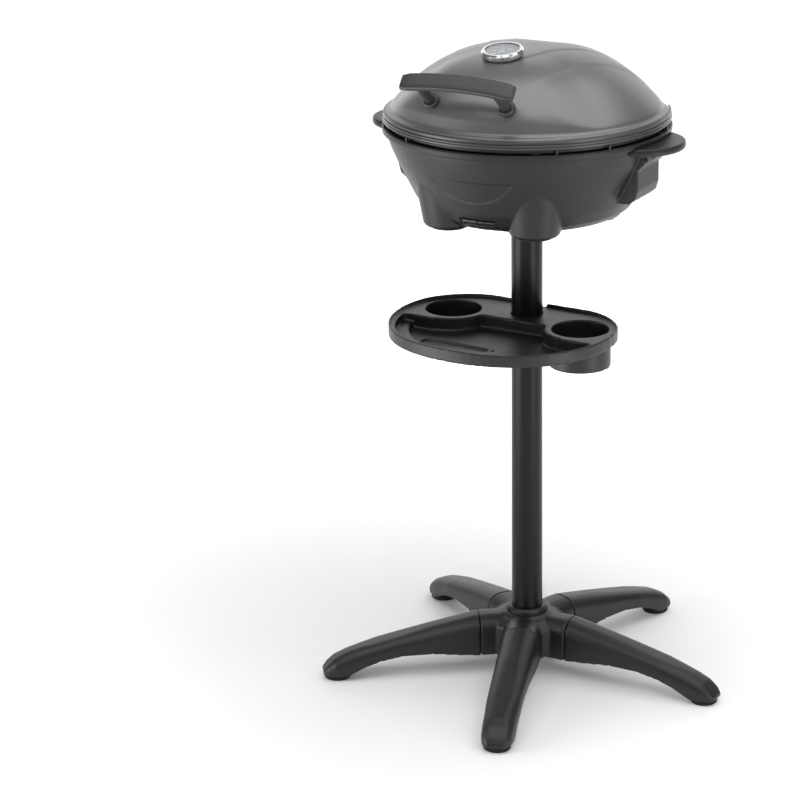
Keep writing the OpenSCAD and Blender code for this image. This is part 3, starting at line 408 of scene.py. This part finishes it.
def ring_growth():
    """Copies of one part round the Z axis: Count of them over Sweep, from First, at Radius."""
    tree = Growth("ring_of_parts", Part="Object", Count="Int", Radius="Float", First="Float", Sweep="Float",
                  Finish="Material")
    index = tree.node("GeometryNodeInputIndex")
    angle = tree.ask("First") + index * tree.ask("Sweep") / tree.ask("Count")
    along, aside = (angle.worked(wave, angle) * tree.ask("Radius") for wave in ("COSINE", "SINE"))
    out = tree.node("ShaderNodeCombineXYZ", {}, {"X": along, "Y": aside})
    facing = tree.node("ShaderNodeCombineXYZ", {}, {"Z": angle})
    points = tree.node("GeometryNodePoints", {}, {"Count": tree.ask("Count"), "Position": out})
    part = tree.node("GeometryNodeObjectInfo", {}, {"Object": tree.ask("Part")}, "Geometry")
    return tree.finish(tree.node("GeometryNodeInstanceOnPoints", {}, {"Points": points, "Instance": part,
                                                                      "Rotation": facing}))


ring = ring_growth()


def ringed(name, pattern, look, count, radius=0.0, first=0.0, sweep=None, place=Matrix.Identity(4)):
    """Copies of a pattern piece all the way round, or from first to first + sweep. The pattern goes."""
    span = 2 * math.pi if sweep is None else sweep * count / (count - 1)
    made = ring.grow(name, place, Part=pattern, Count=count, Radius=radius, First=first, Sweep=span,
                     Finish=look.material)
    bpy.data.objects.remove(pattern)
    return made


def block(name, low, high):
    """A small pattern piece with broken edges, from its two corners in mm."""
    low, high = np.array(low) * MM, np.array(high) * MM
    mesh = bmesh.new()
    bmesh.ops.create_cube(mesh, size=1)
    for v in mesh.verts:
        v.co = low + (0.5 + np.array(v.co)) * (high - low)
    bmesh.ops.bevel(mesh, geom=mesh.edges, offset=0.2 * min(high - low), segments=1, affect="EDGES")
    return finished(name, mesh)


stand_look = plastic("stand_plastic", ink(20, 20, 21), ink(27, 27, 28), 0.42)
arms = ringed("star_arms", softened("arm_pattern", ["leg_arm_1"], 2 * MM, 6, 0.75), stand_look, arm_count)
dress(arms, "stand", "stand_plastic", *[f"leg_arm_{i + 1}" for i in range(arm_count)])
hub = moulded("star_hub", "stand", "stand_plastic", ["hub"], 1.8 * MM, 14)
stand_look.put(hub, *cad("hub_collar", "shelf_collar"))
rubber_look = plastic("black_rubber", ink(22, 22, 22), ink(32, 32, 32), 0.75, 0.0006, 0.5)
rubber_look.put(*cad("foot_pads", "rubber_feet"))
pad_r, pad_reach = 20 * MM, 298 * MM
pad_rib = block("pad_rib", (-0.8, -0.45, 1.8), (0.5, 0.45, 6.8))
one_pad = ringed("pad_ribs", pad_rib, rubber_look, 60, pad_r)
dress(ringed("foot_pad_ribs", one_pad, rubber_look, arm_count, pad_reach), "stand", "black_rubber")


# ---------- pole ----------
# Two steel tubes with a satin black powder coat, joined by an inner sleeve and bolted up from
# under the hub. The small moulded plugs, the cord's clip and all the bare screws are dressed here too.
pole_look = Look("black_powder_coat", Specular_IOR_Level=0.25)
pole_look.tint(0.08, ink(9, 9, 10), ink(14, 14, 15), 2, (1, 1, 0.2))
pole_look.feed("Roughness", pole_look.noise(0.0016) * 0.08 + 0.27)
pole_look.relief(pole_look.noise(0.0016, 3), 0.1, 0.0002)
pole_look.put(*cad("lower_pole", "upper_pole"))
inner_look = plastic("inner_plastic", ink(30, 30, 30), ink(38, 38, 38), 0.55)
inner_look.put(*cad("pole_foot_plug", "pole_joiner", "pole_top_plug", "cord_clip"))
zinc_look = metal("zinc_screws", ink(170, 170, 168), 0.32)
zinc_look.put(*cad("leg_screws", "pole_bolt", "shelf_screws", "handle_screws", "hinge_screws"))
metal("blackened_screws", ink(58, 58, 58), 0.4).put(*cad("side_handle_screws"))


# ---------- shelf ----------
# One black moulding with a straight back, a raised platform with two cup holders, and a lower tray
# in front of it for tools.
shelf = moulded("shelf_moulding", "stand", "shelf_plastic", ["shelf"], 1.7 * MM, 3, 0.6)
shelf_look = plastic("shelf_plastic", ink(20, 20, 21), ink(27, 27, 28), 0.42)
shelf_look.put(shelf)


# ---------- bowl ----------
# The grey heat-resistant body that holds the plate: four feet, two side blocks, and a flange on top.
# Its two side handles, the drawer for fat and the lid's rests go with it.
bowl = moulded("bowl_moulding", "head", "bowl_plastic", ["base_bowl"], 1.35 * MM, 4, 0.2)
bowl_look = plastic("bowl_plastic", ink(31, 31, 32), ink(38, 38, 39), 0.42, Specular_IOR_Level=0.36)
bowl_look.put(bowl)
for side in ("left", "right"):
    bowl_look.put(moulded(f"{side}_ear", "head", "bowl_plastic", [f"{side}_side_handle"], 1.2 * MM, 4))
tray = moulded("drip_drawer", "drip_tray", "tray_plastic", ["drip_tray"], 1.0 * MM, 2)
tray_look = plastic("tray_plastic", ink(26, 26, 27), ink(33, 33, 34), 0.4)
tray_look.put(tray, *cad("lid_rest_studs"))


# ---------- inside of the bowl ----------
# A bright reflector, the sheathed element with its terminals, and the ribbed plate of cast
# aluminium with a speckled non-stick coating.
metal("reflector_sheet", ink(190, 190, 188), 0.25).put(*cad("heat_reflector"))
metal("tinted_sheath", ink(96, 90, 86), 0.42).put(*cad("heating_element", "sensor_rod"))
metal("brass_terminals", ink(190, 165, 110), 0.3).put(*cad("element_terminals"))
plate_look = Look("non_stick_coating", Metallic=0.25)
speck = plate_look.noise(0.0008, 2)
plate_look.feed("Base Color", plate_look.blend(speck ** 4.0, ink(26, 26, 28), ink(92, 92, 96)))
plate_look.feed("Roughness", plate_look.noise(0.02) * 0.1 + 0.36)
plate_look.relief(plate_look.noise(0.0015, 3), 0.3, 0.0003)
plate_look.put(*cad("cook_plate"))


# ---------- hinges ----------
# Plated brackets on the bowl, leaves on the lid and the pins through both. The thermometer's stem
# and nut inside the lid have the same finish.
chrome_look = metal("plated_steel", ink(205, 205, 205), 0.12)
chrome_look.put(*cad("hinge_brackets", "hinge_pins", "hinge_leaves", "gauge_stem", "gauge_nut"))


# ---------- lid ----------
# A pressed steel dome with a rolled flange, flat at the back and cut off at the two rear corners,
# painted in a satin metallic grey. A darker band is clamped round its rim.
dome_r, dome_h, dome_foot, sheet_t, step_h = 197 * MM, 84 * MM, 896 * MM, 1.6 * MM, 1.0 * MM
# the flat walls of the dome's foot: their direction and distance
flat_walls = ((math.pi / 2, 148 * MM), (math.pi / 4, 188 * MM), (3 * math.pi / 4, 188 * MM))
corner_soft = 2.5 * MM
# the flange in mm, from its lower edge to the dome's foot: how far outside the foot line, and height
skirt_z = 876
flange = ((9.5, skirt_z), (9.5, 880), (9.5, 884), (9.5, 886.6), (9, 888.2), (7.9, 889.2), (6.3, 889.7),
          (4.6, 890.3), (3, 891.2), (1.6, 892.6), (0.7, 894.2), (0.1, 896))


def foot_radius(a, out):
    """Distance from the axis to the dome's foot line, pushed out by out."""
    reach = np.full_like(a, dome_r + out)
    for way, far in flat_walls:
        facing = np.cos(a - way)
        wall = np.where(facing > 0.05, (far + out) / np.maximum(facing, 0.05), 9.0)
        # a soft minimum rounds the corner between two walls
        reach = -np.log(np.exp(-reach / corner_soft) + np.exp(-wall / corner_soft)) * corner_soft
    return reach


def eased(t):
    """From 0 to 1 with a soft start and end."""
    t = np.clip(t, 0, 1)
    return t * t * (3 - 2 * t)


def dome_height(share, a, r):
    """Height of the dome over its foot: full over the handle, flatter to the sides and the back,
    with the soft steps that stiffen the sheet: a bell over the crown and a long crease on each side."""
    off = np.abs((np.degrees(a) + 270) % 360 - 180)
    full = eased((60 - off) / 35)
    high = dome_h * (full * (1 - share ** 3) ** 0.5 + (1 - full) * (1 - share ** 2.8) ** 0.95)
    x, y = np.abs(r * np.cos(a)) / MM, r * np.sin(a) / MM
    bell = y - np.interp(x, (0, 20, 32, 46, 61, 80, 104, 140), (-87, -84, -74, -18, 10, 38, 70, 112))
    beside = x - (78 + 0.00115 * (y + 180) ** 2)
    fade = eased((1 - share) / 0.12)
    return high + fade * step_h * (eased(bell / 9 + 0.5) - eased(beside / 9 + 0.5))


def lid_skin(skin):
    """Rings of points from the skirt up over the dome, drawn in by skin."""
    a = np.linspace(math.pi, -math.pi, 288, endpoint=False)
    rings = []
    for out, z in flange:
        r = foot_radius(a, out * MM) - skin
        z = np.full_like(a, z * MM - (skin if z > skirt_z else 0))
        rings.append(np.stack((r * np.cos(a), r * np.sin(a), z), 1))
    for share in 1 - np.linspace(0.04, 1, 84) ** 1.5:
        r = (foot_radius(a, 0) - skin) * share
        z = dome_foot + dome_height(np.full_like(a, share), a, r) - skin
        rings.append(np.stack((r * np.cos(a), r * np.sin(a), z), 1))
    return rings


def lid_mesh():
    """The inner skin from its crown down to the skirt, then the outer one up to its crown."""
    skins = lid_skin(sheet_t)[::-1] + lid_skin(0)
    mesh = bmesh.new()
    rows = [[mesh.verts.new(point) for point in row] for row in skins[1:-1]]
    for low, high in zip(rows, rows[1:]):
        n = len(low)
        for i in range(n):
            mesh.faces.new((low[i], high[i], high[(i + 1) % n], low[(i + 1) % n])).smooth = True
    for row, flip in ((rows[0], False), (rows[-1], True)):
        tip = mesh.verts.new(sum((v.co for v in row), Vector()) / len(row))
        for i in range(len(row)):
            three = (row[i], row[(i + 1) % len(row)], tip)
            mesh.faces.new(three[::-1] if flip else three).smooth = True
    bmesh.ops.recalc_face_normals(mesh, faces=mesh.faces)
    return finished("lid_dome", mesh)


lid = dress(lid_mesh(), "lid", "lid_paint", "lid_shell")
lid_look = Look("metallic_grey_paint", Metallic=0.55)
lid_look.tint(0.0006, ink(104, 104, 105), ink(128, 128, 129), 1)
lid_look.feed("Roughness", lid_look.noise(0.03) * 0.06 + 0.34)
lid_look.relief(lid_look.noise(0.0022, 2), 0.08, 0.0002)
lid_look.put(lid)
band_look = Look("rim_band_enamel", Metallic=0.4)
band_look.tint(0.0007, ink(62, 62, 63), ink(78, 78, 79), 1)
band_look.feed("Roughness", band_look.noise(0.03) * 0.06 + 0.3)
band_look.put(*cad("lid_rim_band"))


# ---------- lid handle ----------
# A flat curved grip on two stout posts, each with a collar at its foot, screwed through the dome
# from inside.
handle_look = plastic("handle_plastic", ink(50, 50, 51), ink(58, 58, 59), 0.4)
grip = moulded("lid_grip", "lid", "handle_plastic", ["lid_handle"], 0.9 * MM, 6)
posts = moulded("grip_posts", "lid", "handle_plastic", ["handle_posts"], 0.8 * MM, 2)
collars = moulded("grip_collars", "lid", "handle_plastic", ["handle_collars"], 0.7 * MM, 2)
handle_look.put(grip, posts, collars)


# ---------- thermometer ----------
# A round dial thermometer with a polished case and bezel, a grey dial under glass, and a pale needle.
# The scale is printed on the dial, and its figures are in degrees.
metal("polished_bezel", ink(225, 225, 225), 0.08).put(*cad("gauge_case", "gauge_bezel"))
dial_look = Look("grey_dial", Roughness=0.5)
dial_look.tint(0.004, ink(104, 104, 105), ink(118, 118, 119))
dial_look.put(*cad("gauge_dial"))
print_look = Look("pale_print", Roughness=0.6)
print_look.tint(0.003, ink(214, 214, 210), ink(200, 200, 196))


def figures(name, words, look, radius, size, first, sweep, place):
    """Printed figures from first to first + sweep, upright as read from the dial's front edge."""
    mesh = bmesh.new()
    for i, word in enumerate(words):
        text = bpy.data.curves.new(name, "FONT")
        text.body, text.size, text.extrude = word, size, 0.05 * MM
        text.align_x, text.align_y = "CENTER", "CENTER"
        drawn = bpy.data.objects.new(name, text)
        scene.collection.objects.link(drawn)
        data = bpy.data.meshes.new_from_object(drawn.evaluated_get(bpy.context.evaluated_depsgraph_get()))
        way = first + sweep * i / (len(words) - 1)
        data.transform(place @ Matrix.Translation((radius * math.cos(way), radius * math.sin(way), 0)))
        mesh.from_mesh(data)
        bpy.data.objects.remove(drawn)
    piece = finished(name, mesh)
    look.put(piece)
    return piece


dial_lean, dial_top, print_gap = math.radians(9), 6.8 * MM, 0.05 * MM
scale = {"first": math.radians(225), "sweep": math.radians(-270),
         "place": Matrix.Translation((0, -76 * MM, 978 * MM)) @ Matrix.Rotation(dial_lean, 4, "X")
         @ Matrix.Translation((0, 0, dial_top + print_gap))}
fine_mark = block("mark", (-0.9, -0.14, 0), (0.9, 0.14, 0.1))
dress(ringed("dial_fine_marks", fine_mark, print_look, 41, 22 * MM, **scale), "lid", "dial_grey")
long_mark = block("mark", (-1.8, -0.3, 0), (1.8, 0.3, 0.12))
dress(ringed("dial_long_marks", long_mark, print_look, 6, 21 * MM, **scale), "lid", "dial_grey")
degrees = ("50", "100", "150", "200", "250", "300")
dress(figures("dial_figures", degrees, print_look, 15 * MM, 4.6 * MM, **scale), "lid", "dial_grey")
glass_look = Look("clear_lens", Roughness=0.03, Alpha=0.16, Base_Color=(0.9, 0.95, 1, 1))
glass_look.feed("Roughness", glass_look.noise(0.01) * 0.03 + 0.02)
glass_look.put(*cad("gauge_lens"))
needle_look = Look("pale_needle", Roughness=0.4)
needle_look.tint(0.004, ink(206, 204, 198), ink(190, 188, 182))
needle_look.put(*cad("gauge_needle"))


# ---------- thermostat plug ----------
# A two-part black housing with the sensor rod in front and a round knob on top, which has ridges
# for the fingers and a scale from 0 to 5. A pale pointer and a red lamp stand beside it.
probe_look = plastic("thermostat_plastic", ink(28, 28, 29), ink(36, 36, 37), 0.42)
probe_look.put(*cad("socket_shroud", "probe_lower_case", "probe_upper_case", "temperature_knob"))
cap_look = Look("knob_dial", Roughness=0.4)
cap_look.tint(0.004, ink(165, 165, 165), ink(180, 180, 180))
cap_look.put(*cad("knob_cap"))
dark_print = Look("dark_print", Roughness=0.6)
dark_print.tint(0.003, ink(24, 24, 24), ink(34, 34, 34))
corner = Matrix.Rotation(math.radians(135), 4, "Z")
knob_at = corner @ Matrix.Translation((244 * MM, 0, 0))
cap_top, case_top = 877.2 * MM, 865.5 * MM
ridge = block("ridge", (-0.9, -0.7, 867), (0.5, 0.7, 875.6))
dress(ringed("knob_ridges", ridge, probe_look, 30, 16.9 * MM, place=knob_at), "knob", "black_plastic")
settings = {"first": math.radians(180), "sweep": math.radians(250),
            "place": knob_at @ Matrix.Translation((0, 0, cap_top + print_gap))}
mark = block("mark", (-1.2, -0.2, 0), (1.2, 0.2, 0.1))
dress(ringed("knob_marks", mark, dark_print, 21, 12.6 * MM, **settings), "knob", "dial_grey")
dress(figures("knob_figures", "012345", dark_print, 8.6 * MM, 3.6 * MM, **settings), "knob", "dial_grey")
pointer = block("knob_pointer", (-1.9, -0.6, 0), (1.9, 0.6, 0.4))
pointer.data.transform(corner @ Matrix.Translation((223.8 * MM, 0, case_top)))
print_look.put(pointer)
dress(pointer, "head", "black_plastic")
lamp_look = Look("red_lamp_lens", Roughness=0.15)
lamp_look.tint(0.002, ink(190, 34, 20), ink(150, 20, 14))
lamp_look.put(*cad("indicator_lamp"))
